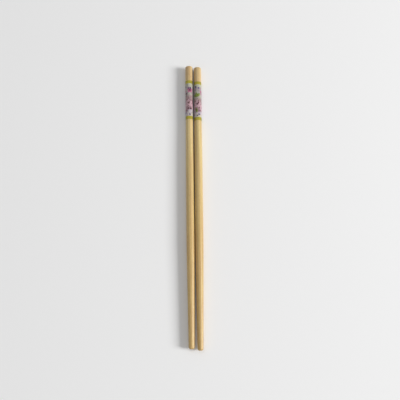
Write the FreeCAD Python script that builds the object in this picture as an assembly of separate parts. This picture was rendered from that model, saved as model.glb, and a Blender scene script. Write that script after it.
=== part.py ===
"""Pair of round bamboo chopsticks, each with a printed floral film near its butt end.

Millimetres. The sticks lie side by side on their round sides, along Y, butt ends towards +Y.
+Z is up, and the origin is the middle of the pair's footprint, on the surface they lie on.
Each stick is one turned solid. Its print is a thin film with the inks as fields of colour:
a pale ground between two gold rings, and on the ground peonies, blossoms, buds and leaves.
"""
import FreeCAD, Part
import math
import os

# Stick: the turned form, measured from its butt end
STICK_LENGTH = 250.0
BUTT_RADIUS = 3.3
BUTT_EDGE_ROUND = 0.7
BUTT_SECTION_LENGTH = 56.0
SWELL_LENGTH = 34.0
SHANK_RADIUS = 3.5
TAPER_LENGTH = 85.0
TIP_RADIUS = 2.4
TIP_EDGE_ROUND = 1.6

# Pair: how the two sticks lie, centre to centre, and how far one lies ahead of the other
BUTT_SPACING = 7.8
TIP_SPACING = 7.1
STAGGER = 1.2

# Film: the printed band, measured from the butt end. It ends short of the swell
FILM_START = 14.7
FILM_CLEARANCE = 3.5
GOLD_RING_WIDTH = 3.0
FILM_THICKNESS = 0.08
INK_THICKNESS = 0.05

# Flowers: reach is from the centre to a petal's top, and notch is the depth between two petals.
# The peonies' reach follows from the film's girth, so that each laps over the next one's petals
POINTS_PER_PETAL = 3
PEONY_PETALS = 5
PEONY_OVERLAP = 1.8
PEONY_NOTCH = 1.0
PEONY_STEP = 3.2
PEONY_HEART_RADIUS = 0.8
BLOSSOM_PETALS = 5
BLOSSOM_REACH = 2.7
BLOSSOM_NOTCH = 1.1
BLOSSOM_HEART_RADIUS = 0.55

# Spots: the flowers' hearts and the buds are round spots of six sides
SPOT_POINTS = 6
BUD_RADIUS = 1.1

# Leaf: a pointed oval
LEAF_LENGTH = 4.4
LEAF_WIDTH = 2.3
LEAF_POINTS = 6

# Places on the film: degrees round the stick from its top, then the share of the ground's length.
# A peony's third value is how far it lies beyond that, so that the peonies' petals still meet
PEONY_PLACES = ((-8, 0.6, 0), (82, 0.6, PEONY_STEP), (172, 0.6, 0), (262, 0.6, PEONY_STEP))
BLOSSOM_PLACES = ((12, 0.21), (262, 0.24))
BUD_PLACES = ((148, 0.09), (195, 0.11), (200, 0.92), (-68, 0.9))
# A leaf's third value is the degrees that it is turned from the stick's length
LEAF_PLACES = ((162, 0.317, 12), (140, 0.345, 55), (190, 0.328, -34), (160, 0.79, 12))
# Degrees that each stick is rolled about its own length
LEFT_ROLL = 0.0
RIGHT_ROLL = 180.0

GROUND_START = FILM_START + GOLD_RING_WIDTH
GROUND_END = BUTT_SECTION_LENGTH - FILM_CLEARANCE - GOLD_RING_WIDTH
GROUND_LENGTH = GROUND_END - GROUND_START
FILM_RADIUS = BUTT_RADIUS + FILM_THICKNESS
PEONY_REACH = math.pi * FILM_RADIUS / len(PEONY_PLACES) + PEONY_OVERLAP / 2
INK_RADIUS = FILM_RADIUS + INK_THICKNESS
AXIS_HEIGHT = max(SHANK_RADIUS, INK_RADIUS)
PATCH_RADIUS = 2 * INK_RADIUS
CENTRE = FreeCAD.Vector(0, 0, 0)
ALONG = FreeCAD.Vector(0, 1, 0)
UP = FreeCAD.Vector(0, 0, 1)


def profile_point(radius, from_butt):
    """Point of a stick's half section, with its butt face at Y 0 and its tip towards -Y."""
    return FreeCAD.Vector(radius, -from_butt, 0)


def corner_arc(radius, end, inward, fillet):
    """Quarter arc that rounds an end's edge, from its side to its face. Inward is 1 or -1."""
    bend = fillet * (1 - math.sqrt(0.5))
    side = profile_point(radius, end + inward * fillet)
    middle = profile_point(radius - bend, end + inward * bend)
    face = profile_point(radius - fillet, end)
    return Part.Arc(side, middle, face).toShape()


def side_run(start, end):
    """Straight run of the stick's side: a line where it is round and even, a spline where it tapers."""
    run = Part.LineSegment(start, end)
    return run.toShape() if start.x == end.x else run.toBSpline().toShape()


def stick():
    """One chopstick, turned from one piece: butt, slight swell, shank, long taper, round tip."""
    corners = [
        profile_point(BUTT_RADIUS, BUTT_EDGE_ROUND),
        profile_point(BUTT_RADIUS, BUTT_SECTION_LENGTH),
        profile_point(SHANK_RADIUS, BUTT_SECTION_LENGTH + SWELL_LENGTH),
        profile_point(SHANK_RADIUS, STICK_LENGTH - TAPER_LENGTH),
        profile_point(TIP_RADIUS, STICK_LENGTH - TIP_EDGE_ROUND),
    ]
    butt_middle = profile_point(0, 0)
    butt_rim = profile_point(BUTT_RADIUS - BUTT_EDGE_ROUND, 0)
    tip_middle = profile_point(0, STICK_LENGTH)
    tip_rim = profile_point(TIP_RADIUS - TIP_EDGE_ROUND, STICK_LENGTH)
    edges = [side_run(start, end) for start, end in zip(corners, corners[1:])]
    edges += [
        corner_arc(BUTT_RADIUS, 0, 1, BUTT_EDGE_ROUND),
        corner_arc(TIP_RADIUS, STICK_LENGTH, -1, TIP_EDGE_ROUND),
        Part.makeLine(butt_rim, butt_middle),
        Part.makeLine(butt_middle, tip_middle),
        Part.makeLine(tip_middle, tip_rim),
    ]
    section = Part.Face(Part.Wire(Part.__sortEdges__(edges)))
    return section.revolve(CENTRE, ALONG, 360)


def sleeve(inner, outer, start, length):
    """Thin tube round the stick, from start, for length, measured from the butt end."""
    base = profile_point(0, start + length)
    outside = Part.makeCylinder(outer, length, base, ALONG)
    return outside.cut(Part.makeCylinder(inner, length, base, ALONG))


def gold_rings():
    """Gold ring at each end of the film."""
    starts = (FILM_START, GROUND_END)
    rings = [sleeve(BUTT_RADIUS, FILM_RADIUS, start, GOLD_RING_WIDTH) for start in starts]
    return Part.makeCompound(rings)


def flower_outline(petals, reach, notch):
    """Outline of a flower, as across and along distances on the film from its centre."""
    points = []
    for index in range(petals * POINTS_PER_PETAL):
        turn = 2 * math.pi * index / (petals * POINTS_PER_PETAL)
        radius = reach - notch * (1 - abs(math.sin(petals * turn / 2)))
        points.append((radius * math.sin(turn), radius * math.cos(turn)))
    return points


def spot_outline(radius):
    """Outline of a round spot."""
    turns = [2 * math.pi * index / SPOT_POINTS for index in range(SPOT_POINTS)]
    return [(radius * math.sin(turn), radius * math.cos(turn)) for turn in turns]


def leaf_outline(lean):
    """Outline of a leaf, pointed at both ends, turned by lean degrees from the stick's length."""
    points = []
    for index in range(LEAF_POINTS):
        turn = 2 * math.pi * index / LEAF_POINTS
        across = LEAF_WIDTH / 2 * math.sin(turn) * abs(math.sin(turn))
        along = LEAF_LENGTH / 2 * math.cos(turn)
        cosine = math.cos(math.radians(lean))
        sine = math.sin(math.radians(lean))
        points.append((across * cosine + along * sine, along * cosine - across * sine))
    return points


def patch(outline, angle, share, beyond=0):
    """Pyramid from the stick's axis outwards, whose section at the film is the outline."""
    middle = GROUND_START + share * GROUND_LENGTH + beyond
    spread = PATCH_RADIUS / FILM_RADIUS

    def outside(across, along):
        """Point of the patch's outer end, over a point of the outline."""
        turn = math.radians(angle) + across / FILM_RADIUS
        height = -(middle + along * spread)
        return FreeCAD.Vector(PATCH_RADIUS * math.sin(turn), height, PATCH_RADIUS * math.cos(turn))

    apex = profile_point(0, middle)
    crown = outside(0, 0)
    corners = [outside(across, along) for across, along in outline]
    faces = []
    for start, end in zip(corners, corners[1:] + corners[:1]):
        faces.append(Part.Face(Part.makePolygon([apex, start, end, apex])))
        faces.append(Part.Face(Part.makePolygon([crown, end, start, crown])))
    solid = Part.Solid(Part.Shell(faces))
    if solid.Volume < 0:
        solid.reverse()
    return solid


def beside(solid, others):
    """What a solid leaves free of the others, where any of them is near."""
    near = [other for other in others if solid.BoundBox.intersect(other.BoundBox)]
    return solid.cut(near).Solids if near else [solid]


def field(patches, over):
    """One field of colour: the patches' share of the ink layer, less the solids printed over it."""
    layer = sleeve(FILM_RADIUS, INK_RADIUS, GROUND_START, GROUND_LENGTH)
    printed = [each.common(layer) for each in patches]
    joined = printed[0].multiFuse(printed[1:]).removeSplitter()
    return [left for solid in joined.Solids for left in beside(solid, over)]


def inks():
    """The fields of colour, by name. Each one gives way to those before it."""
    peony_heart = spot_outline(PEONY_HEART_RADIUS)
    blossom_heart = spot_outline(BLOSSOM_HEART_RADIUS)
    peony = flower_outline(PEONY_PETALS, PEONY_REACH, PEONY_NOTCH)
    blossom = flower_outline(BLOSSOM_PETALS, BLOSSOM_REACH, BLOSSOM_NOTCH)
    bud = spot_outline(BUD_RADIUS)
    patches = {
        "hearts": [patch(peony_heart, *place) for place in PEONY_PLACES]
        + [patch(blossom_heart, *place) for place in BLOSSOM_PLACES],
        "blossoms": [patch(blossom, *place) for place in BLOSSOM_PLACES],
        "peonies": [patch(peony, *place) for place in PEONY_PLACES],
        "buds": [patch(bud, *place) for place in BUD_PLACES],
        "leaves": [patch(leaf_outline(lean), angle, share) for angle, share, lean in LEAF_PLACES],
    }
    fields = {}
    over = []
    for name, group in patches.items():
        solids = field(group, over)
        fields[name] = Part.makeCompound(solids)
        over += solids
    return fields


def laid(shape, side, roll):
    """Lay a stick's shape in its place: side is -1 for the left stick and 1 for the right."""
    lean = math.degrees(math.atan((BUTT_SPACING - TIP_SPACING) / 2 / STICK_LENGTH))
    placed = shape.copy()
    placed.rotate(CENTRE, ALONG, roll)
    placed.rotate(CENTRE, UP, -side * lean)
    butt_y = STICK_LENGTH / 2 - side * STAGGER / 2
    placed.translate(FreeCAD.Vector(side * BUTT_SPACING / 2, butt_y, AXIS_HEIGHT))
    return placed


def main():
    """Write each stick and each field of its print as a STEP file of its own."""
    os.makedirs("parts", exist_ok=True)
    ground = sleeve(BUTT_RADIUS, FILM_RADIUS, GROUND_START, GROUND_LENGTH)
    pieces = {"stick": stick(), "film_ground": ground, "gold_rings": gold_rings()}
    pieces.update(inks())
    for hand, side, roll in (("left", -1, LEFT_ROLL), ("right", 1, RIGHT_ROLL)):
        for name, shape in pieces.items():
            laid(shape, side, roll).exportStep("parts/%s_%s.step" % (hand, name))


main()
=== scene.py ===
"""Looks of a pair of round bamboo chopsticks with a printed floral film near their butts.

Metres, in the frame's own axes: +Y along the sticks towards their butts, +X from the left stick to
the right one, +Z up, and the sticks lie on Z 0. Each piece is built along a stick whose butt face
is at Y 0 and whose tip points to -Y, and is then laid in its place in the mesh.
"""
from __future__ import annotations

import logging
import math
import random
from collections.abc import Callable, Mapping, Sequence
from dataclasses import dataclass
from enum import Enum

import bmesh
import bpy
from mathutils import Matrix, Vector

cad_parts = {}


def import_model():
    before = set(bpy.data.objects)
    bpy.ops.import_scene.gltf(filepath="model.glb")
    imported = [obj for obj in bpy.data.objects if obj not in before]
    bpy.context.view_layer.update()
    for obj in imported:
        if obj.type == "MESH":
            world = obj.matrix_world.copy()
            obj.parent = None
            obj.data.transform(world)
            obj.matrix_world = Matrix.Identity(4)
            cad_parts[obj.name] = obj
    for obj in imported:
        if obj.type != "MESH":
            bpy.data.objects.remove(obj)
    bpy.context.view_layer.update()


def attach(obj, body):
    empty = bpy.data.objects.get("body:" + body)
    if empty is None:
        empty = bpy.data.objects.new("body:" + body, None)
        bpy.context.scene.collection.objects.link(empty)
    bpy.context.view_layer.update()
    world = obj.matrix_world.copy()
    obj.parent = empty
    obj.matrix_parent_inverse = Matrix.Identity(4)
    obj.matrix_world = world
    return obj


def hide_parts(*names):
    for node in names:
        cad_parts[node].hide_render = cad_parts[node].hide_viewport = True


LOG = logging.getLogger("chopsticks")
PRINT_UV = "print"
MM = 0.001
MERGE_DISTANCE = 1e-7
UNIT_MERGE_DISTANCE = 1e-5
SMOOTH_ANGLE = math.radians(35)
CENTRE = (0.0, 0.0, 0.0)
ALONG = (0.0, 1.0, 0.0)
UP = (0.0, 0.0, 1.0)

# The display's own curve, from a level to linear light
CURVE_TOE = 0.04045
CURVE_TOE_SLOPE = 12.92
CURVE_OFFSET = 0.055
CURVE_POWER = 2.4
FULL_LEVEL = 255

# Where a Mix node has its colours
MIX_FIRST = 6
MIX_SECOND = 7
MIXED = 2

Colour = tuple[float, float, float, float]
Triple = tuple[float, float, float]
Pair = tuple[float, float]
Socket = bpy.types.NodeSocket
Sockets = Mapping[str, Socket]


def tone(red: int, green: int, blue: int) -> Colour:
    """Turn a display colour into the linear one that a shader takes.

    Args:
        red: red from 0 to 255.
        green: green from 0 to 255.
        blue: blue from 0 to 255.

    Returns:
        The linear colour, with full alpha.
    """
    linear = []
    for level in (red, green, blue):
        share = level / FULL_LEVEL
        curved = ((share + CURVE_OFFSET) / (1 + CURVE_OFFSET)) ** CURVE_POWER
        linear.append(share / CURVE_TOE_SLOPE if share <= CURVE_TOE else curved)
    return (linear[0], linear[1], linear[2], 1.0)


def added(name: str, data: bpy.types.ID) -> bpy.types.Object:
    """Add an object to the scene.

    Args:
        name: its name.
        data: its mesh, lamp or camera.

    Returns:
        The new object.
    """
    made = bpy.data.objects.new(name, data)
    bpy.context.scene.collection.objects.link(made)
    return made


class Side(Enum):
    """The two sticks. The value is the sign of the stick's place on X."""

    LEFT = -1
    RIGHT = 1

    @property
    def label(self) -> str:
        """The side's name, as the nodes' names have it."""
        return self.name.lower()


class Slot(Enum):
    """The record's material slots."""

    BAMBOO = "bamboo"
    GROUND = "film_ground"
    GOLD = "gold_ink"
    MAROON = "maroon_ink"
    MAGENTA = "magenta_ink"
    PINK = "pink_ink"
    VIOLET = "violet_ink"
    GREEN = "green_ink"


@dataclass(frozen=True)
class Tint:
    """A colour that is laid over another, and its share where its mask is 1."""

    colour: Colour
    share: float = 1.0


class Graph:
    """A node tree that is filled by short calls."""

    def __init__(self, tree: bpy.types.NodeTree) -> None:
        """Keep the tree to be filled."""
        self.tree = tree

    def add(self, kind: str, inputs: Mapping[object, object], **settings: object) -> Sockets:
        """Add a node.

        Args:
            kind: the node's type name, without the word ShaderNode.
            inputs: plain value or socket for an input, by the input's name or number.
            settings: properties to set on the node.

        Returns:
            The node's outputs.
        """
        node = self.tree.nodes.new("ShaderNode" + kind)
        for name, value in settings.items():
            setattr(node, name, value)
        for key, value in inputs.items():
            self.feed(node.inputs[key], value)
        return node.outputs

    def feed(self, socket: Socket, value: object) -> None:
        """Link a socket into an input, or set the input's own value.

        Args:
            socket: the input.
            value: the socket or the plain value.
        """
        if isinstance(value, bpy.types.NodeSocket):
            self.tree.links.new(value, socket)
        else:
            socket.default_value = value

    def math(self, operation: str, first: object, second: object = 0.0,
             clamp: bool = False) -> Socket:
        """Result of an operation on two values, kept between 0 and 1 where it is clamped."""
        return self.add("Math", {0: first, 1: second}, operation=operation, use_clamp=clamp)[0]

    def times(self, first: object, second: object) -> Socket:
        """Product of two values."""
        return self.math("MULTIPLY", first, second)

    def plus(self, first: object, second: object) -> Socket:
        """Sum of two values."""
        return self.math("ADD", first, second)

    def less(self, first: object, second: object) -> Socket:
        """First value less the second."""
        return self.math("SUBTRACT", first, second)

    def rise(self, value: object, low: float, high: float) -> Socket:
        """Smooth step from low, where it is 0, to high, where it is 1."""
        inputs = {"Value": value, "From Min": low, "From Max": high}
        return self.add("MapRange", inputs, interpolation_type="SMOOTHSTEP")["Result"]

    def fall(self, value: object, low: float, high: float) -> Socket:
        """Smooth step from low, where it is 1, to high, where it is 0."""
        return self.less(1.0, self.rise(value, low, high))

    def blend(self, factor: object, first: object, second: object, mode: str = "MIX") -> Socket:
        """Mix of two colours, where the factor is the share of the second one."""
        inputs = {0: factor, MIX_FIRST: first, MIX_SECOND: second}
        return self.add("Mix", inputs, data_type="RGBA", blend_type=mode, clamp_result=True)[MIXED]

    def tinted(self, base: object, tint: Tint, mask: Socket, mode: str = "MIX") -> Socket:
        """Colour or socket with a tint laid over it, where the mask is."""
        return self.blend(self.times(mask, tint.share), base, tint.colour, mode)

    def ramp(self, value: Socket, stops: Sequence[tuple[float, Colour]]) -> Socket:
        """Colour ramp over a value.

        Args:
            value: the value's socket.
            stops: place and colour of each stop, in order.

        Returns:
            The colour's socket.
        """
        node = self.tree.nodes.new("ShaderNodeValToRGB")
        elements = node.color_ramp.elements
        while len(elements) < len(stops):
            elements.new(0.5)
        for element, (place, colour) in zip(elements, stops):
            element.position = place
            element.color = colour
        self.feed(node.inputs[0], value)
        return node.outputs[0]

    def noise(self, vector: Socket, scale: object, octaves: float, roughness: float = 0.5) -> Socket:
        """Noise from 0 to 1 over a vector. Its roughness is the strength of the finer octaves."""
        inputs = {"Vector": vector, "Scale": scale, "Detail": octaves, "Roughness": roughness}
        return self.add("TexNoise", inputs)[0]

    def stretched(self, vector: Socket, scale: Triple) -> Socket:
        """Vector times a scale for each axis."""
        return self.add("VectorMath", {0: vector, 1: scale}, operation="MULTIPLY")[0]

    def split(self, vector: Socket) -> tuple[Socket, ...]:
        """Sockets of a vector's X, Y and Z."""
        return tuple(self.add("SeparateXYZ", {0: vector}))

    def effect(self, shared: Graph, **values: object) -> Sockets:
        """Outputs of a shared effect's group, with a value or socket for each input."""
        return self.add("Group", values, node_tree=shared.tree)


class Effect(Graph):
    """An effect that materials share: a group with a Vector and at most one value to set."""

    name: str
    knob: str = ""

    def __init__(self) -> None:
        """Build the group, whose outputs are named values."""
        super().__init__(bpy.data.node_groups.new(self.name, "ShaderNodeTree"))
        sockets = self.tree.interface
        sockets.new_socket("Vector", in_out="INPUT", socket_type="NodeSocketVector")
        if self.knob:
            sockets.new_socket(self.knob, in_out="INPUT", socket_type="NodeSocketFloat")
        self.given = self.tree.nodes.new("NodeGroupInput").outputs
        values = self.values(self.given["Vector"])
        for label in values:
            sockets.new_socket(label, in_out="OUTPUT", socket_type="NodeSocketFloat")
        made = self.tree.nodes.new("NodeGroupOutput")
        for label, value in values.items():
            self.feed(made.inputs[label], value)

    def values(self, vector: Socket) -> dict[str, Socket]:
        """The group's outputs, by name."""
        raise NotImplementedError


class Fibres(Effect):
    """Long fibres along Y: fine streaks, and the dark bundles that show as dashes and end dots."""

    name = "bamboo_fibres"
    knob = "Density"
    octaves: float = 2.0
    hair: Triple = (3600.0, 42.0, 3600.0)
    hair_roughness: float = 0.6
    hair_share: float = 0.55
    band: Triple = (1100.0, 11.0, 1100.0)
    band_share: float = 0.45
    streak_levels: Pair = (0.34, 0.66)
    cells: Triple = (1500.0, 62.0, 1500.0)
    cell_randomness: float = 0.85
    bundle_core: Pair = (0.16, 0.40)
    bundle_relief: float = 0.35

    def values(self, vector: Socket) -> dict[str, Socket]:
        """Streaks, bundles and relief.

        Args:
            vector: the place.

        Returns:
            The outputs, by name.
        """
        hair = self.noise(self.stretched(vector, self.hair), 1.0, self.octaves, self.hair_roughness)
        band = self.noise(self.stretched(vector, self.band), 1.0, self.octaves)
        streak = self.plus(self.times(hair, self.hair_share), self.times(band, self.band_share))
        spread = {"Vector": self.stretched(vector, self.cells), "Randomness": self.cell_randomness}
        cell = self.add("TexVoronoi", spread, feature="F1")
        chance = self.add("SeparateColor", {0: cell["Color"]})[0]
        kept = self.math("LESS_THAN", chance, self.given["Density"])
        bundle = self.times(self.fall(cell["Distance"], *self.bundle_core), kept)
        relief = self.less(streak, self.times(bundle, self.bundle_relief))
        return {"Streak": self.rise(streak, *self.streak_levels), "Bundle": bundle, "Height": relief}


class Drift(Effect):
    """Slow change of tone over a surface, and a finer mottle.

    Each has its octaves, its share of the scale, and the noise levels where it is 0 and 1.
    """

    name = "tone_drift"
    knob = "Scale"
    slow: tuple[float, float, Pair] = (1.0, 1.0, (0.32, 0.68))
    mottle: tuple[float, float, Pair] = (4.0, 9.0, (0.30, 0.70))

    def values(self, vector: Socket) -> dict[str, Socket]:
        """Slow change and mottle.

        Args:
            vector: the place.

        Returns:
            The outputs, by name.
        """
        made = {}
        for label, (octaves, share, levels) in (("Slow", self.slow), ("Mottle", self.mottle)):
            level = self.noise(vector, self.times(self.given["Scale"], share), octaves)
            made[label] = self.rise(level, *levels)
        return made


class PetalPaint(Effect):
    """Painted petal, from a print coordinate.

    X is 0 between petals and 1 at a petal's middle. Y is 0 at the flower's centre and 1 at its edge.
    """

    name = "petal_paint"
    knob = "Veins"
    vein_levels: Pair = (0.55, 1.0)
    vein_fade: Pair = (0.45, 0.92)
    seam: Pair = (0.03, 0.16)
    seam_start: Pair = (0.15, 0.35)
    rim: Pair = (0.93, 0.975)
    blush_fade: Pair = (0.15, 0.85)

    def values(self, vector: Socket) -> dict[str, Socket]:
        """Blush, veins and lines.

        Args:
            vector: the print coordinate.

        Returns:
            The outputs, by name.
        """
        across, outward, _ = self.split(vector)
        wave = self.math("COSINE", self.times(across, self.given["Veins"]))
        vein = self.times(self.rise(wave, *self.vein_levels), self.fall(outward, *self.vein_fade))
        seam = self.times(self.fall(across, *self.seam), self.rise(outward, *self.seam_start))
        line = self.math("MAXIMUM", seam, self.rise(outward, *self.rim))
        return {"Blush": self.fall(outward, *self.blush_fade), "Vein": vein, "Line": line}


class PrintWear(Effect):
    """Pinholes and thin spots of a transfer print, and its faint orange peel.

    Each noise has its scale, octaves and roughness.
    """

    name = "print_wear"
    specks: Triple = (5200.0, 2.0, 0.5)
    speck_levels: Pair = (0.66, 0.74)
    cover: Triple = (420.0, 3.0, 0.6)
    cover_levels: Pair = (0.50, 0.66)
    peel: Triple = (900.0, 2.0, 0.5)

    def values(self, vector: Socket) -> dict[str, Socket]:
        """Thin spots and relief.

        Args:
            vector: the place.

        Returns:
            The outputs, by name.
        """
        specks = self.rise(self.noise(vector, *self.specks), *self.speck_levels)
        cover = self.rise(self.noise(vector, *self.cover), *self.cover_levels)
        return {"Thin": self.times(specks, cover), "Height": self.noise(vector, *self.peel)}


class Effects:
    """The shared groups, each built once."""

    def __init__(self) -> None:
        """Build all the groups."""
        self.fibres = Fibres()
        self.drift = Drift()
        self.petal = PetalPaint()
        self.wear = PrintWear()


class Finish(Graph):
    """A finish, which fills the nodes of its own material.

    Attributes:
        metallic: share of metal in the surface.
        gloss: the dielectric's specular level.
        coat: weight of the clear coat.
        coat_roughness: roughness of the clear coat.
        relief: depth of the bumps.
        drift_scale: scale of the change of tone.
        smooth: roughness of the plain surface.
    """

    metallic: float = 0.0
    gloss: float = 0.35
    coat: float = 0.12
    coat_roughness: float
    relief: float
    drift_scale: float
    smooth: float

    def __init__(self, name: str, effects: Effects) -> None:
        """Build the material.

        Args:
            name: its name.
            effects: the shared groups.
        """
        self.material = bpy.data.materials.new(name)
        self.material.use_nodes = True
        super().__init__(self.material.node_tree)
        self.tree.nodes.clear()
        self.effects = effects
        self.place = self.add("TexCoord", {})
        self.shade(*self.paint(self.place["Object"]))

    def paint(self, spot: Socket) -> tuple[Socket, Socket, Socket]:
        """Colour, roughness and height over the surface, from the place on the object."""
        raise NotImplementedError

    def shade(self, colour: Socket, roughness: Socket, height: Socket) -> None:
        """Add the shader and its output.

        Args:
            colour: base colour.
            roughness: roughness over the surface.
            height: height over the surface, from 0 to 1.
        """
        bump = self.add("Bump", {"Distance": self.relief, "Strength": 1.0, "Height": height})
        shader = self.add("BsdfPrincipled", {
            "Base Color": colour,
            "Metallic": self.metallic,
            "Roughness": roughness,
            "Normal": bump[0],
            "Specular IOR Level": self.gloss,
            "Coat Weight": self.coat,
            "Coat Roughness": self.coat_roughness,
        })
        self.add("OutputMaterial", {0: shader[0]})


class BambooFinish(Finish):
    """Turned bamboo under a thin clear wax, with its end grain at the butt.

    The tones lie along the stick, each at its place on Y, and the ramp spans a length about Y 0.
    """

    coat_roughness = 0.28
    relief = 0.03 * MM
    drift_scale = 260.0
    drift_stretch: Triple = (1.0, 0.16, 1.0)
    tones: tuple[tuple[float, Colour], ...] = (
        (-0.125, tone(203, 173, 108)),
        (-0.030, tone(204, 175, 111)),
        (0.060, tone(216, 197, 137)),
        (0.110, tone(206, 181, 134)),
    )
    span: float = 0.25
    warm: Tint = Tint(tone(250, 238, 250), 0.8)
    light: Tint = Tint(tone(226, 202, 142), 0.4)
    fibre: Tint = Tint(tone(162, 128, 74), 0.65)
    cut: Tint = Tint(tone(176, 138, 86), 0.4)
    end_facing: Pair = (0.72, 0.96)
    bundle: Tint = Tint(tone(116, 76, 34))
    bundle_density: float = 0.42
    bundle_side_share: float = 0.5
    smooth = 0.36
    bundle_roughness: float = 0.16
    end_roughness: float = 0.3

    def paint(self, spot: Socket) -> tuple[Socket, Socket, Socket]:
        """Lay streaks, end grain and bundles over the stick's tones.

        Args:
            spot: the place on the object.

        Returns:
            Colour, roughness and height.
        """
        fibres = self.effect(self.effects.fibres, Vector=spot, Density=self.bundle_density)
        along = self.stretched(spot, self.drift_stretch)
        drift = self.effect(self.effects.drift, Vector=along, Scale=self.drift_scale)
        share = self.plus(self.times(self.split(spot)[1], 1 / self.span), 0.5)
        zone = self.ramp(share, [(away / self.span + 0.5, colour) for away, colour in self.tones])
        warm = self.tinted(zone, self.warm, drift["Slow"], "MULTIPLY")
        light = self.tinted(warm, self.light, drift["Mottle"])
        grain = self.tinted(light, self.fibre, self.less(1.0, fibres["Streak"]))
        end = self.rise(self.math("ABSOLUTE", self.split(self.place["Normal"])[1]), *self.end_facing)
        cut = self.tinted(grain, self.cut, end)
        showing = self.plus(self.bundle_side_share, self.times(end, 1 - self.bundle_side_share))
        colour = self.tinted(cut, self.bundle, self.times(fibres["Bundle"], showing))
        rough = self.plus(self.smooth, self.times(fibres["Bundle"], self.bundle_roughness))
        rough = self.math("ADD", rough, self.times(end, self.end_roughness), clamp=True)
        return colour, rough, fibres["Height"]


class InkFinish(Finish):
    """Satin ink of a transfer print, whose pinholes and thin spots show another colour."""

    gloss = 0.3
    coat_roughness = 0.16
    relief = 0.006 * MM
    thin: Colour
    smooth = 0.3
    mottle_roughness: float = 0.1

    def paint(self, spot: Socket) -> tuple[Socket, Socket, Socket]:
        """Wear the ink's own colour.

        Args:
            spot: the place on the object.

        Returns:
            Colour, roughness and height.
        """
        drift = self.effect(self.effects.drift, Vector=spot, Scale=self.drift_scale)
        wear = self.effect(self.effects.wear, Vector=spot)
        colour = self.blend(wear["Thin"], self.ink(drift["Slow"], drift["Mottle"]), self.thin)
        rough = self.plus(self.smooth, self.times(drift["Mottle"], self.mottle_roughness))
        return colour, rough, wear["Height"]

    def ink(self, slow: Socket, mottle: Socket) -> Socket:
        """Colour of the ink before its wear, from its change of tone."""
        raise NotImplementedError


class GroundFinish(InkFinish):
    """Pale printed ground: zones along the film from its butt side, with borders that sway."""

    drift_scale = 240.0
    thin = tone(186, 156, 112)
    zones: tuple[tuple[float, Colour], ...] = (
        (0.00, tone(192, 198, 172)),
        (0.14, tone(170, 152, 156)),
        (0.30, tone(184, 186, 170)),
        (0.44, tone(166, 140, 138)),
        (0.80, tone(158, 124, 130)),
        (0.89, tone(200, 192, 200)),
        (1.00, tone(206, 202, 176)),
    )
    sway: float = 0.14
    cloud: Tint = Tint(tone(104, 74, 86), 0.6)

    def ink(self, slow: Socket, mottle: Socket) -> Socket:
        """Lay clouds over the zones.

        Args:
            slow: slow change of tone.
            mottle: mottle.

        Returns:
            The colour.
        """
        sway = self.times(self.less(slow, 0.5), self.sway)
        along = self.plus(self.split(self.place["UV"])[1], sway)
        return self.tinted(self.ramp(along, self.zones), self.cloud, mottle)


class GoldFinish(InkFinish):
    """Gold ink with a fine pearl in it, whose noise has its scale and octaves."""

    metallic = 0.35
    gloss = 0.35
    coat_roughness = 0.2
    drift_scale = 420.0
    thin = tone(150, 124, 60)
    smooth = 0.34
    mottle_roughness = 0.12
    bright: Colour = tone(154, 142, 40)
    deep: Colour = tone(138, 128, 32)
    pearl: Colour = tone(188, 176, 72)
    pearl_noise: Pair = (9000.0, 1.0)
    pearl_levels: Pair = (0.55, 0.75)

    def ink(self, slow: Socket, mottle: Socket) -> Socket:
        """Strew the pearl over the gold.

        Args:
            slow: slow change of tone.
            mottle: mottle, which the gold does not use.

        Returns:
            The colour.
        """
        rich = self.blend(slow, self.bright, self.deep)
        pearl = self.rise(self.noise(self.place["Object"], *self.pearl_noise), *self.pearl_levels)
        return self.blend(pearl, rich, self.pearl)


class PetalFinish(InkFinish):
    """Pink ink of a flower, painted petal by petal.

    Attributes:
        body: colour of the petals' outer parts.
        depth: colour towards the flower's centre.
        line: colour of the veins, the seams and the edge.
        veins: how many radians of wave lie between a petal's side and its middle.
    """

    drift_scale = 520.0
    thin = tone(200, 186, 176)
    body: Colour = tone(196, 158, 166)
    depth: Colour = tone(96, 50, 66)
    line: Colour = tone(78, 38, 54)
    veins: float = 22.0
    pale: Tint = Tint(tone(204, 186, 190), 0.25)
    vein_share: float = 0.45
    line_share: float = 0.7

    def ink(self, slow: Socket, mottle: Socket) -> Socket:
        """Paint the petals.

        Args:
            slow: slow change of tone, which the petals do not use.
            mottle: mottle.

        Returns:
            The colour.
        """
        petal = self.effect(self.effects.petal, Vector=self.place["UV"], Veins=self.veins)
        washed = self.blend(petal["Blush"], self.tinted(self.body, self.pale, mottle), self.depth)
        veined = self.tinted(washed, Tint(self.line, self.vein_share), petal["Vein"])
        return self.tinted(veined, Tint(self.line, self.line_share), petal["Line"])


class MagentaFinish(PetalFinish):
    """Magenta ink of the blossoms."""

    body = tone(184, 88, 124)
    depth = tone(84, 32, 66)
    line = tone(80, 26, 60)


class VioletFinish(PetalFinish):
    """Violet ink of the buds and florets."""

    body = tone(98, 82, 134)
    depth = tone(46, 32, 70)
    line = tone(44, 32, 74)
    veins = 12.0


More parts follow.
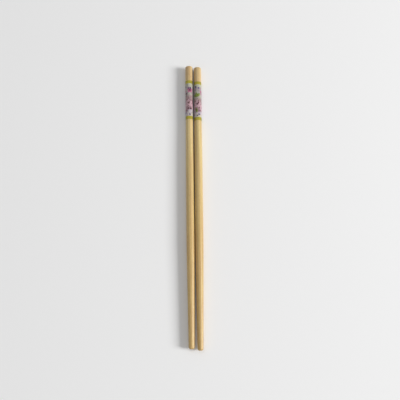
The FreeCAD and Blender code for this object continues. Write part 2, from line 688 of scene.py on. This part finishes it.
class HeartFinish(InkFinish):
    """Dark heart of a flower, with a ring of pale stamen tips."""

    drift_scale = 900.0
    thin = tone(124, 66, 78)
    middle: Colour = tone(72, 22, 36)
    outside: Colour = tone(46, 12, 28)
    middle_fade: Pair = (0.1, 0.8)
    light: Tint = Tint(tone(112, 44, 64), 0.3)
    tips: Colour = tone(180, 146, 84)
    tip_levels: Pair = (0.55, 0.8)
    ring_start: Pair = (0.58, 0.66)
    ring_end: Pair = (0.78, 0.86)

    def ink(self, slow: Socket, mottle: Socket) -> Socket:
        """Set the ring of tips on the heart.

        Args:
            slow: slow change of tone, which the heart does not use.
            mottle: mottle.

        Returns:
            The colour.
        """
        around, outward, _ = self.split(self.place["UV"])
        inner = self.blend(self.rise(outward, *self.middle_fade), self.middle, self.outside)
        tip = self.rise(self.math("SINE", self.times(around, math.tau)), *self.tip_levels)
        ring = self.times(self.rise(outward, *self.ring_start), self.fall(outward, *self.ring_end))
        return self.blend(self.times(tip, ring), self.tinted(inner, self.light, mottle), self.tips)


class LeafFinish(InkFinish):
    """Green ink of leaves and twigs: X of the print coordinate runs across, Y along.

    Widths and levels across are distances from the middle, where the whole width is 1.
    """

    drift_scale = 620.0
    thin = tone(176, 180, 140)
    halves: tuple[Colour, Colour] = (tone(76, 96, 14), tone(98, 118, 22))
    fold: Pair = (-0.04, 0.04)
    light: Tint = Tint(tone(118, 130, 40), 0.35)
    vein: Tint = Tint(tone(150, 158, 66), 0.7)
    midrib: Pair = (0.03, 0.08)
    side_vein_count: float = 9.0
    side_vein_slant: float = 5.0
    side_vein_levels: Pair = (0.86, 1.0)
    side_vein_share: float = 0.6
    edge: Tint = Tint(tone(44, 62, 18), 0.6)
    edge_levels: Pair = (0.42, 0.48)

    def ink(self, slow: Socket, mottle: Socket) -> Socket:
        """Draw veins and edge over the two halves.

        Args:
            slow: slow change of tone, which the leaves do not use.
            mottle: mottle.

        Returns:
            The colour.
        """
        across, along, _ = self.split(self.place["UV"])
        aside = self.less(across, 0.5)
        body = self.tinted(self.blend(self.rise(aside, *self.fold), *self.halves), self.light, mottle)
        away = self.math("ABSOLUTE", aside)
        count = self.times(along, self.side_vein_count)
        slant = self.less(count, self.times(away, self.side_vein_slant))
        side = self.rise(self.math("SINE", self.times(slant, math.tau)), *self.side_vein_levels)
        midrib = self.fall(away, *self.midrib)
        veins = self.math("MAXIMUM", midrib, self.times(side, self.side_vein_share))
        veined = self.tinted(body, self.vein, veins)
        return self.tinted(veined, self.edge, self.rise(away, *self.edge_levels))


class Palette:
    """The finished materials, by slot."""

    finishes: dict[Slot, type[Finish]] = {
        Slot.BAMBOO: BambooFinish,
        Slot.GROUND: GroundFinish,
        Slot.GOLD: GoldFinish,
        Slot.MAROON: HeartFinish,
        Slot.MAGENTA: MagentaFinish,
        Slot.PINK: PetalFinish,
        Slot.VIOLET: VioletFinish,
        Slot.GREEN: LeafFinish,
    }

    def __init__(self, effects: Effects) -> None:
        """Build every material once, named after its slot."""
        made = {slot: finish(slot.value, effects) for slot, finish in self.finishes.items()}
        self.materials = {slot: finish.material for slot, finish in made.items()}


@dataclass(frozen=True)
class StickSizes:
    """The turned form, measured from the butt end."""

    length: float = 250 * MM
    butt_radius: float = 3.3 * MM
    butt_round: float = 0.7 * MM
    butt_section: float = 56 * MM
    swell: float = 34 * MM
    shank_radius: float = 3.5 * MM
    taper: float = 85 * MM
    tip_radius: float = 2.4 * MM
    tip_round: float = 1.6 * MM
    ring_spacing: float = 4 * MM
    arc_steps: int = 8
    spin_steps: int = 96

    def corners(self) -> list[Pair]:
        """Corners of the stick's side.

        Returns:
            The corners, as radius and distance from the butt.
        """
        return [
            (self.butt_radius, self.butt_round),
            (self.butt_radius, self.butt_section),
            (self.shank_radius, self.butt_section + self.swell),
            (self.shank_radius, self.length - self.taper),
            (self.tip_radius, self.length - self.tip_round),
        ]

    def arc(self, radius: float, end: float, inward: int, fillet: float) -> list[Pair]:
        """Points of an end's rounded edge, from the stick's side to its face.

        Args:
            radius: the side's radius.
            end: the face's distance from the butt.
            inward: 1 at the butt and -1 at the tip.
            fillet: the rounding's radius.

        Returns:
            The points, as radius and distance from the butt.
        """
        points = []
        for index in range(1, self.arc_steps + 1):
            turn = math.pi / 2 * index / self.arc_steps
            across = radius - fillet * (1 - math.cos(turn))
            points.append((across, end + inward * fillet * (1 - math.sin(turn))))
        return points

    def half_section(self) -> list[Pair]:
        """Half section from the middle of the butt face to the middle of the tip.

        Returns:
            The points, as radius and distance from the butt.
        """
        flat = self.butt_radius - self.butt_round
        points = [(0.0, 0.0), (flat / 3, 0.0), (flat * 2 / 3, 0.0)]
        points += reversed(self.arc(self.butt_radius, 0.0, 1, self.butt_round))
        corners = self.corners()
        for (start_radius, start), (end_radius, end) in zip(corners, corners[1:]):
            count = max(1, round((end - start) / self.ring_spacing))
            for index in range(count):
                share = index / count
                radius = start_radius + (end_radius - start_radius) * share
                points.append((radius, start + (end - start) * share))
        points.append(corners[-1])
        points += self.arc(self.tip_radius, self.length, -1, self.tip_round)
        points += [((self.tip_radius - self.tip_round) / 2, self.length), (0.0, self.length)]
        return points


@dataclass(frozen=True)
class Lay:
    """How the two sticks lie: centre to centre, how far one lies ahead, and how one is rolled."""

    sizes: StickSizes
    butt_spacing: float = 7.8 * MM
    tip_spacing: float = 7.1 * MM
    stagger: float = 1.2 * MM
    right_roll: float = 180.0

    def matrix(self, side: Side) -> Matrix:
        """Where a stick lies.

        Args:
            side: which stick.

        Returns:
            The matrix from the stick's own axes to the frame's.
        """
        sign = side.value
        lean = math.atan((self.butt_spacing - self.tip_spacing) / 2 / self.sizes.length)
        butt = self.sizes.length / 2 - sign * self.stagger / 2
        place = Matrix.Translation((sign * self.butt_spacing / 2, butt, self.sizes.shank_radius))
        turn = Matrix.Rotation(-sign * lean, 4, "Z")
        rolled = self.right_roll if side is Side.RIGHT else 0.0
        roll = Matrix.Rotation(math.radians(rolled), 4, "Y")
        return place @ turn @ roll


@dataclass(frozen=True)
class Solid:
    """A mesh in the making, with the few steps that every piece shares."""

    mesh: bmesh.types.BMesh

    @classmethod
    def spun(cls, section: Sequence[Pair], steps: int, closed: bool = False) -> Solid:
        """Turn a half section about the stick's length.

        Args:
            section: points as radius and distance from the butt.
            steps: steps of the full turn.
            closed: join the last point to the first, for a tube.

        Returns:
            The turned solid.
        """
        mesh = bmesh.new()
        points = [mesh.verts.new((radius, -away, 0.0)) for radius, away in section]
        pairs = list(zip(points, points[1:])) + ([(points[-1], points[0])] if closed else [])
        edges = [mesh.edges.new(pair) for pair in pairs]
        bmesh.ops.spin(mesh, geom=points + edges, angle=math.tau, steps=steps, use_merge=True,
                       axis=ALONG, cent=CENTRE)
        solid = cls(mesh)
        solid.mend()
        return solid

    @classmethod
    def joined(cls, solids: Sequence[Solid]) -> Solid:
        """Put several solids in one mesh.

        Args:
            solids: the solids, which are used up.

        Returns:
            One solid of them all.
        """
        mesh = bmesh.new()
        for solid in solids:
            data = bpy.data.meshes.new("part")
            solid.mesh.to_mesh(data)
            solid.mesh.free()
            mesh.from_mesh(data)
            bpy.data.meshes.remove(data)
        return cls(mesh)

    def mend(self) -> None:
        """Merge doubled vertices and turn the faces outwards."""
        bmesh.ops.remove_doubles(self.mesh, verts=self.mesh.verts[:], dist=MERGE_DISTANCE)
        bmesh.ops.recalc_face_normals(self.mesh, faces=self.mesh.faces[:])

    def piece(self, name: str, place: Matrix, material: bpy.types.Material) -> bpy.types.Object:
        """Make the object, with its place in the mesh.

        Args:
            name: the object's name.
            place: matrix that lays the mesh in the frame.
            material: its material.

        Returns:
            The new object.
        """
        bmesh.ops.transform(self.mesh, matrix=place, verts=self.mesh.verts[:])
        data = bpy.data.meshes.new(name)
        self.mesh.to_mesh(data)
        self.mesh.free()
        data.materials.append(material)
        data.shade_smooth()
        data.set_sharp_from_angle(angle=SMOOTH_ANGLE)
        return added(name, data)


@dataclass(frozen=True)
class FilmSizes:
    """The printed band, measured from the butt end."""

    sizes: StickSizes
    start: float = 14.7 * MM
    clearance: float = 3.5 * MM
    ring: float = 3.0 * MM
    thickness: float = 0.08 * MM
    edge: float = 0.02 * MM
    spin_steps: int = 160

    @property
    def radius(self) -> float:
        """Radius of the film's printed side."""
        return self.sizes.butt_radius + self.thickness

    @property
    def ground(self) -> Pair:
        """Where the ground starts and ends."""
        return self.start + self.ring, self.sizes.butt_section - self.clearance - self.ring

    def sleeve(self, start: float, end: float) -> Solid:
        """Thin tube with softened edges, whose print coordinate runs round it and along it.

        Args:
            start: where it starts.
            end: where it ends.

        Returns:
            The tube.
        """
        inner, outer = self.sizes.butt_radius, self.radius
        section = [
            (inner, start),
            (outer - self.edge, start),
            (outer, start + self.edge),
            (outer, (start + end) / 2),
            (outer, end - self.edge),
            (outer - self.edge, end),
            (inner, end),
        ]
        tube = Solid.spun(section, self.spin_steps, closed=True)
        layer = tube.mesh.loops.layers.uv.new(PRINT_UV)
        for face in tube.mesh.faces:
            middle = face.calc_center_median()
            base = math.atan2(middle.x, middle.z)
            for loop in face.loops:
                turn = math.atan2(loop.vert.co.x, loop.vert.co.z)
                near = turn + math.tau * round((base - turn) / math.tau)
                loop[layer].uv = (near / math.tau + 0.5, (-loop.vert.co.y - start) / (end - start))
        return tube


@dataclass(frozen=True)
class Spot:
    """A place on the film: degrees round the stick, distance from the butt, and degrees turned."""

    angle: float
    away: float
    lean: float = 0.0


@dataclass(frozen=True)
class Petals:
    """Outline of a flower: reach to a petal's top, and the depth of the notch between two petals."""

    count: int
    reach: float
    notch: float = 0.0

    def outline(self, turn: float) -> float:
        """Radius of the flower over the turn from the stick's length."""
        return self.reach - self.notch * (1 - abs(math.sin(self.count * turn / 2)))


class Kind(Enum):
    """Kinds of motif: how far one stands off the film, and how fine its mesh is.

    The fineness is rings and steps of a flower, or columns and rows of a strip.
    """

    TWIG = (0.018 * MM, 2, 20)
    PETALS = (0.022 * MM, 14, 120)
    LEAF = (0.026 * MM, 10, 24)
    INNER_PETALS = (0.030 * MM, 9, 90)
    BUD = (0.034 * MM, 6, 60)
    BLOSSOM = (0.034 * MM, 9, 90)
    HEART = (0.047 * MM, 5, 54)
    DOT = (0.049 * MM, 2, 16)


@dataclass(frozen=True)
class Motif:
    """A flat printed shape that is laid round the film.

    Attributes:
        film: the film's sizes.
        kind: what it is.
        sunk: how far its under side lies in the film.
        dome: how much lower its edge is than its middle.
        flower_bend: power of a flower's dome over its radius.
        strip_bend: power of a strip's dome over its width.
        edge_height: least height of its edge.
        painted: share of a painted flower's radius that its print coordinate spans.
        nudge: step along a strip's middle line to find its heading.
    """

    film: FilmSizes
    kind: Kind
    sunk: float = 0.008 * MM
    dome: float = 0.25
    flower_bend: int = 6
    strip_bend: int = 4
    edge_height: float = 0.05
    painted: float = 1.0
    nudge: float = 0.01

    def wrapped(self, flat: Solid, spot: Spot, lift: float = 0.0) -> Solid:
        """Lay a flat shape, whose heights are 0 or up to 1, round the film.

        Args:
            flat: the shape, with X across, Y along and Z 0 or more.
            spot: its place.
            lift: extra height of its printed side.

        Returns:
            The same solid, laid on the film.
        """
        lean = math.radians(spot.lean)
        top = self.kind.value[0] + lift
        for vert in flat.mesh.verts:
            across, along, height = vert.co
            east = across * math.cos(lean) + along * math.sin(lean)
            south = along * math.cos(lean) - across * math.sin(lean)
            turn = math.radians(spot.angle) + east / self.film.radius
            level = self.film.radius + (height * top if height > 0 else -self.sunk)
            vert.co = (level * math.sin(turn), -(spot.away + south), level * math.cos(turn))
        flat.mend()
        return flat

    def flower(self, shape: Petals, spot: Spot, lift: float = 0.0) -> Solid:
        """Flower or round spot on the film, with a print coordinate for its petals.

        Args:
            shape: its outline.
            spot: its place.
            lift: extra height of its printed side.

        Returns:
            The flower.
        """
        _, rings, steps = self.kind.value
        mesh = bmesh.new()
        points = [mesh.verts.new((0.0, ring / rings, 0.0)) for ring in range(rings + 1)]
        edges = [mesh.edges.new(pair) for pair in zip(points, points[1:])]
        bmesh.ops.spin(mesh, geom=points + edges, angle=math.tau, steps=steps, use_merge=True,
                       axis=UP, cent=CENTRE)
        bmesh.ops.remove_doubles(mesh, verts=mesh.verts[:], dist=UNIT_MERGE_DISTANCE)
        layer = mesh.loops.layers.uv.new(PRINT_UV)
        for face in mesh.faces:
            for loop in face.loops:
                across, along, _ = loop.vert.co
                share = (math.atan2(across, along) / math.tau * shape.count) % 1.0
                loop[layer].uv = (1 - abs(2 * share - 1), math.hypot(across, along) * self.painted)
        bend = self.flower_bend
        self.raised(mesh, lambda across, along: 1 - self.dome * math.hypot(across, along) ** bend)
        for vert in mesh.verts:
            across, along, height = vert.co
            reach = shape.outline(math.atan2(across, along))
            vert.co = (across * reach, along * reach, height)
        return self.wrapped(Solid(mesh), spot, lift)

    def raised(self, mesh: bmesh.types.BMesh, height: Callable[[float, float], float]) -> None:
        """Make a flat sheet a closed slab, from height 0 up to the given height.

        Args:
            mesh: the sheet.
            height: height over a point of the sheet.
        """
        made = bmesh.ops.extrude_face_region(mesh, geom=mesh.faces[:], use_keep_orig=True)
        for part in made["geom"]:
            if isinstance(part, bmesh.types.BMVert):
                part.co.z = max(self.edge_height, height(part.co.x, part.co.y))

    def strip(self, half_width: Callable[[float], float], centre: Callable[[float], Pair],
              spot: Spot, lift: float = 0.0) -> Solid:
        """Strip along a curve on the film, with a print coordinate across and along it.

        Args:
            half_width: half its width over its length from -1 to 1.
            centre: point of its middle line over its length from -1 to 1.
            spot: its place.
            lift: extra height of its printed side.

        Returns:
            The strip.
        """
        _, columns, rows = self.kind.value
        mesh = bmesh.new()
        mesh.loops.layers.uv.new(PRINT_UV)
        bmesh.ops.create_grid(mesh, x_segments=columns, y_segments=rows, size=1.0, calc_uvs=True)
        self.raised(mesh, lambda across, along: 1 - self.dome * across ** self.strip_bend)
        for vert in mesh.verts:
            across, along, height = vert.co
            here = Vector(centre(along))
            heading = (Vector(centre(along + self.nudge)) - here).normalized()
            side = Vector((heading.y, -heading.x)) * across * half_width(along)
            vert.co = (here.x + side.x, here.y + side.y, height)
        bmesh.ops.remove_doubles(mesh, verts=mesh.verts[:], dist=MERGE_DISTANCE)
        return self.wrapped(Solid(mesh), spot, lift)


@dataclass(frozen=True)
class FloralPrint:
    """The motifs in ink on one film.

    A place is degrees round the stick from its top, then the share of the ground's length. A leaf's
    third value is the degrees that it is turned, and a berry's or floret's is its radius in
    millimetres. A twig has its length, and the degrees that it is turned from its leaf. Half its
    width is given for its middle, with what it loses towards its ends. Of what overlaps, each one
    is lifted a little more than the one before.
    """

    film: FilmSizes
    peony_row: float = 0.60
    peony_angles: tuple[float, ...] = (-8, 82, 172, 262)
    peony_overlap: float = 1.8 * MM
    peony_step: float = 3.2 * MM
    peony_notch: float = 1.0 * MM
    peony_lift: float = 0.008 * MM
    inner_share: float = 0.62
    heart_radius: float = 0.8 * MM
    small_heart_radius: float = 0.55 * MM
    stamens: int = 9
    petal_count: int = 5
    blossom: Petals = Petals(5, 2.7 * MM, 1.1 * MM)
    bud: Petals = Petals(5, 1.1 * MM, 0.26 * MM)
    leaf_length: float = 4.4 * MM
    leaf_width: float = 2.3 * MM
    leaf_lift: float = 0.005 * MM
    twig_half_width: Pair = (0.1125 * MM, 0.0675 * MM)
    twig_bow: float = 0.9 * MM
    twigs: tuple[Pair, ...] = ((5.2 * MM, 0.0), (3.4 * MM, -150.0))
    dot_radii: Pair = (0.16 * MM, 0.5 * MM)
    dot_painted: float = 0.5
    blossom_places: tuple[Pair, ...] = ((12, 0.21), (262, 0.24))
    bud_places: tuple[Pair, ...] = ((148, 0.09), (195, 0.11), (200, 0.92), (-68, 0.9))
    leaf_places: tuple[Triple, ...] = (
        (162, 0.317, 12), (140, 0.345, 55), (190, 0.328, -34), (160, 0.79, 12),
    )
    berry_and_shade_places: tuple[Triple, ...] = (
        (25, 0.775, 1.0), (160, 0.78, 0.85), (150, 0.85, 0.45), (-10, 0.77, 0.85), (188, 0.515, 0.6),
        (192, 0.565, 0.75), (4, 0.555, 0.5),
        # The dark dots at -50 and -44 degrees, in the ground's upper third, are painted shade that
        # darkens the left stick's left flank.
        (-50, 0.32, 0.9), (-44, 0.38, 0.5), (-32, 0.50, 0.5), (24, 0.52, 0.45), (208, 0.70, 0.5),
        (96, 0.20, 0.7), (80, 0.27, 0.5), (300, 0.82, 0.7), (225, 0.80, 0.5), (172, 0.44, 0.4),
    )
    floret_places: tuple[Triple, ...] = (
        (20, 0.145, 0.95), (-10, 0.15, 0.8), (-36, 0.30, 0.7), (140, 0.06, 0.7), (10, 0.95, 0.75),
        (172, 0.955, 0.7), (80, 0.10, 0.8), (300, 0.10, 0.7), (100, 0.93, 0.8),
    )

    def spot(self, angle: float, share: float, lean: float = 0.0) -> Spot:
        """Place at a share of the ground's length."""
        start, end = self.film.ground
        return Spot(angle, start + share * (end - start), lean)

    @property
    def peony(self) -> Petals:
        """A peony's outline, which follows from the film's girth."""
        reach = math.pi * self.film.radius / len(self.peony_angles) + self.peony_overlap / 2
        return Petals(self.petal_count, reach, self.peony_notch)

    def peony_spots(self) -> list[Spot]:
        """Places of the peonies, every second one a step further along.

        Returns:
            The places, round the stick.
        """
        spots = []
        for index, angle in enumerate(self.peony_angles):
            row = self.spot(angle, self.peony_row)
            spots.append(Spot(angle, row.away + self.peony_step * (index % 2)))
        return spots

    def peonies(self) -> list[Solid]:
        """Peonies: an outer whorl of petals, and an inner one that is turned between them.

        Returns:
            The whorls.
        """
        outer = self.peony
        inner = Petals(outer.count, outer.reach * self.inner_share, outer.notch * self.inner_share)
        low, high = Motif(self.film, Kind.PETALS), Motif(self.film, Kind.INNER_PETALS)
        solids = []
        for index, spot in enumerate(self.peony_spots()):
            lift = self.peony_lift * (index % 2)
            solids.append(low.flower(outer, spot, lift))
            solids.append(high.flower(inner, Spot(spot.angle, spot.away, 180 / outer.count), lift))
        return solids

    def flowers(self, kind: Kind, shape: Petals, places: Sequence[Pair]) -> list[Solid]:
        """Flowers of one kind, at their places."""
        return [Motif(self.film, kind).flower(shape, self.spot(*place)) for place in places]

    def hearts(self) -> list[Solid]:
        """Hearts of the peonies and of the blossoms.

        Returns:
            The hearts.
        """
        motif = Motif(self.film, Kind.HEART)
        large = Petals(self.stamens, self.heart_radius)
        small = Petals(self.stamens, self.small_heart_radius)
        hearts = [motif.flower(large, spot) for spot in self.peony_spots()]
        return hearts + [motif.flower(small, self.spot(*place)) for place in self.blossom_places]

    def dots(self, spots: Sequence[tuple[float, Spot]], places: Sequence[Triple]) -> list[Solid]:
        """Round dots over the other inks.

        Args:
            spots: radius and place of each scattered dot.
            places: the places of the berries, of the dark dots that paint shade, or of the florets.

        Returns:
            The dots.
        """
        motif = Motif(self.film, Kind.DOT, painted=self.dot_painted)
        dots = [*spots, *((radius * MM, self.spot(angle, share)) for angle, share, radius in places)]
        return [motif.flower(Petals(self.petal_count, radius), spot) for radius, spot in dots]

    def scattered(self, seed: int, count: int) -> list[tuple[float, Spot]]:
        """Places of small dots, kept off the hearts and off each other.

        Args:
            seed: seed of the draws.
            count: how many dots.

        Returns:
            Radius and place of each dot.
        """
        draw = random.Random(seed)
        low, high = self.dot_radii
        start, end = self.film.ground
        taken = [(2 * self.heart_radius, spot) for spot in self.peony_spots()]
        taken += [(self.heart_radius, self.spot(*place)) for place in self.blossom_places]
        for angle, share, radius in self.berry_and_shade_places + self.floret_places:
            taken.append((radius * MM, self.spot(angle, share)))
        kept: list[tuple[float, Spot]] = []
        while len(kept) < count:
            radius = draw.uniform(low, high)
            spot = Spot(draw.uniform(-180, 180), draw.uniform(start + high, end - high))
            if all(self.apart(spot, other) > radius + reach for reach, other in taken + kept):
                kept.append((radius, spot))
        return kept

    def apart(self, one: Spot, other: Spot) -> float:
        """Distance between two places, along the film."""
        turn = (one.angle - other.angle + 180) % 360 - 180
        return math.hypot(math.radians(turn) * self.film.radius, one.away - other.away)

    def twig_strips(self) -> list[Solid]:
        """Fine twigs that bend from the leaves towards the flowers.

        Returns:
            The twigs.
        """
        motif = Motif(self.film, Kind.TWIG)
        wide, lost = self.twig_half_width
        solids = []
        for index, (angle, share, turned) in enumerate(self.leaf_places):
            bow = self.twig_bow * (-1) ** index
            for length, extra in self.twigs:
                solids.append(motif.strip(
                    lambda along: wide - lost * along ** 2,
                    lambda along: (bow * (1 - along ** 2), along * length / 2),
                    self.spot(angle, share, turned + extra)))
        return solids

    def leaves(self) -> list[Solid]:
        """Leaves, pointed at both ends.

        Returns:
            The leaves.
        """
        motif = Motif(self.film, Kind.LEAF)
        solids = []
        for index, place in enumerate(self.leaf_places):
            solids.append(motif.strip(
                lambda along: self.leaf_width / 2 * (1 - along ** 2),
                lambda along: (0.0, along * self.leaf_length / 2),
                self.spot(*place), self.leaf_lift * index))
        return solids


@dataclass(frozen=True)
class Chopstick:
    """One stick with its film and its print."""

    side: Side
    lay: Lay
    palette: Palette
    dot_count: int = 50
    first_seed: int = 11

    def place(self, solids: Sequence[Solid], name: str, slot: Slot, node: str = "") -> None:
        """Turn solids into one piece, which may stand for a node.

        Args:
            solids: the solids, along their own stick.
            name: the piece's name, after the side's.
            slot: the slot whose finish it takes.
            node: the name of the node that it replaces, after the side's.
        """
        label = self.side.label
        material = self.palette.materials[slot]
        matrix = self.lay.matrix(self.side)
        piece = Solid.joined(solids).piece("%s_%s" % (label, name), matrix, material)
        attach(piece, "root")
        if node:
            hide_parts("%s_%s" % (label, node))
        LOG.info("%s: %d faces", piece.name, len(piece.data.polygons))

    def build(self) -> None:
        """Build all the stick's pieces."""
        sizes = self.lay.sizes
        film = FilmSizes(sizes)
        start, end = film.ground
        rings = [film.sleeve(first, first + film.ring) for first in (film.start, end)]
        turned = Solid.spun(sizes.half_section(), sizes.spin_steps)
        self.place([turned], "turned_stick", Slot.BAMBOO, "stick")
        self.place([film.sleeve(start, end)], "film_sleeve", Slot.GROUND, "film_ground")
        self.place(rings, "gold_bands", Slot.GOLD, "gold_rings")
        motifs = FloralPrint(film)
        blossoms = motifs.flowers(Kind.BLOSSOM, motifs.blossom, motifs.blossom_places)
        buds = motifs.flowers(Kind.BUD, motifs.bud, motifs.bud_places)
        self.place(motifs.peonies(), "peony_flowers", Slot.PINK, "peonies")
        self.place(blossoms, "blossom_flowers", Slot.MAGENTA, "blossoms")
        self.place(motifs.hearts(), "flower_hearts", Slot.MAROON, "hearts")
        self.place(buds, "bud_florets", Slot.VIOLET, "buds")
        self.place(motifs.leaves(), "leaf_sprays", Slot.GREEN, "leaves")
        self.place(motifs.twig_strips(), "twigs", Slot.GREEN)
        dots = motifs.scattered(self.side.value + self.first_seed, self.dot_count)
        # The maroon dots are printed berries and specks, and two of them are painted shade on the
        # left stick's left flank.
        self.place(motifs.dots(dots[0::2], motifs.berry_and_shade_places), "berry_and_shade_dots", Slot.MAROON)
        self.place(motifs.dots(dots[1::2], motifs.floret_places), "violet_dots", Slot.VIOLET)


@dataclass(frozen=True)
class SoftLamp:
    """A square area lamp that points at the sticks.

    Attributes:
        name: the lamp's name.
        azimuth: degrees from +X towards +Y.
        elevation: degrees above the floor.
        distance: metres from the sticks.
        size: metres along an edge.
        level: share of white that it adds to a white surface that faces it.
    """

    name: str
    azimuth: float
    elevation: float
    distance: float
    size: float
    level: float

    def build(self) -> None:
        """Add the lamp."""
        data = bpy.data.lights.new(self.name, "AREA")
        data.size = self.size
        data.energy = self.level * math.pi ** 2 * self.distance ** 2
        lamp = added(self.name, data)
        turn, rise = math.radians(self.azimuth), math.radians(self.elevation)
        flat = math.cos(rise)
        away = Vector((math.cos(turn) * flat, math.sin(turn) * flat, math.sin(rise)))
        lamp.location = away * self.distance
        lamp.rotation_mode = "QUATERNION"
        lamp.rotation_quaternion = away.to_track_quat("Z", "Y")


@dataclass(frozen=True)
class Studio:
    """Pale floor, soft light and the camera at the photograph's viewing angle.

    Attributes:
        top_height: height of the sticks' tops, which the camera looks at.
        frame_pixels: width and height of the picture.
        focal_pixels: focal length, in the picture's pixels.
        middle_x: where the middle of the sticks stands in the picture, from its left edge.
        middle_y: the same, from its top edge.
        elevation: degrees of the camera above the floor.
        roll: degrees that the camera is turned about its view.
        distance: metres from the camera to the middle of the sticks.
        sensor: width of the camera's sensor, in millimetres.
        clip: nearest and farthest distance that the camera sees.
        floor_size: metres along the floor's edge.
        ambient: strength of the white surroundings as a light.
    """

    top_height: float
    frame_pixels: int = 400
    focal_pixels: float = 535.4
    middle_x: float = 194.5
    middle_y: float = 198.0
    elevation: float = 75.0
    roll: float = -0.6
    distance: float = 457.6 * MM
    sensor: float = 36.0
    clip: Pair = (0.01, 50.0)
    floor_size: float = 6.0
    floor_colour: Colour = (0.9, 0.9, 0.9, 1.0)
    floor_roughness: float = 0.9
    floor_gloss: float = 0.1
    white: Colour = (1.0, 1.0, 1.0, 1.0)
    ambient: float = 0.37
    lamps: tuple[SoftLamp, ...] = (
        SoftLamp("key", -8.0, 27.0, 3.0, 1.0, 1.03),
        SoftLamp("fill", 120.0, 62.0, 3.0, 2.0, 0.10),
    )

    def camera(self) -> None:
        """Add the camera and make it the scene's own."""
        data = bpy.data.cameras.new("photo_view")
        data.sensor_width = self.sensor
        data.lens = self.focal_pixels / self.frame_pixels * self.sensor
        data.shift_x = (self.frame_pixels / 2 - self.middle_x) / self.frame_pixels
        data.shift_y = (self.middle_y - self.frame_pixels / 2) / self.frame_pixels
        data.clip_start, data.clip_end = self.clip
        camera = added("photo_view", data)
        rise = math.radians(self.elevation)
        back = Vector((0.0, -math.cos(rise), math.sin(rise)))
        place = Matrix.Translation(Vector((0.0, 0.0, self.top_height)) + back * self.distance)
        tilt = Matrix.Rotation(math.pi / 2 - rise, 4, "X")
        camera.matrix_world = place @ tilt @ Matrix.Rotation(math.radians(self.roll), 4, "Z")
        bpy.context.scene.camera = camera

    def surroundings(self) -> None:
        """White to look at and in reflections, and a plain level as a light."""
        world = bpy.data.worlds.new("surroundings")
        world.use_nodes = True
        world.node_tree.nodes.clear()
        graph = Graph(world.node_tree)
        path = graph.add("LightPath", {})
        seen = graph.math("MAXIMUM", path["Is Camera Ray"], path["Is Glossy Ray"])
        seen = graph.math("MAXIMUM", seen, path["Is Transmission Ray"])
        strength = graph.plus(self.ambient, graph.times(seen, 1 - self.ambient))
        background = graph.add("Background", {"Color": self.white, "Strength": strength})
        graph.add("OutputWorld", {0: background[0]})
        bpy.context.scene.world = world

    def floor(self) -> None:
        """Pale floor whose top is at Z 0."""
        mesh = bmesh.new()
        bmesh.ops.create_grid(mesh, x_segments=1, y_segments=1, size=self.floor_size / 2)
        pale = bpy.data.materials.new("pale_floor")
        pale.use_nodes = True
        shader = pale.node_tree.nodes["Principled BSDF"]
        shader.inputs["Base Color"].default_value = self.floor_colour
        shader.inputs["Roughness"].default_value = self.floor_roughness
        shader.inputs["Specular IOR Level"].default_value = self.floor_gloss
        floor = Solid(mesh).piece("floor", Matrix.Identity(4), pale)

    def build(self) -> None:
        """Build the studio."""
        self.floor()
        self.surroundings()
        for lamp in self.lamps:
            lamp.build()
        self.camera()
        bpy.context.scene.view_settings.view_transform = "Standard"


def main() -> None:
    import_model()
    sizes = StickSizes()
    lay = Lay(sizes)
    palette = Palette(Effects())
    for side in Side:
        Chopstick(side, lay, palette).build()
    Studio(2 * sizes.shank_radius).build()


if __name__ == "__main__":
    logging.basicConfig(level=logging.INFO, format="%(message)s")
    main()
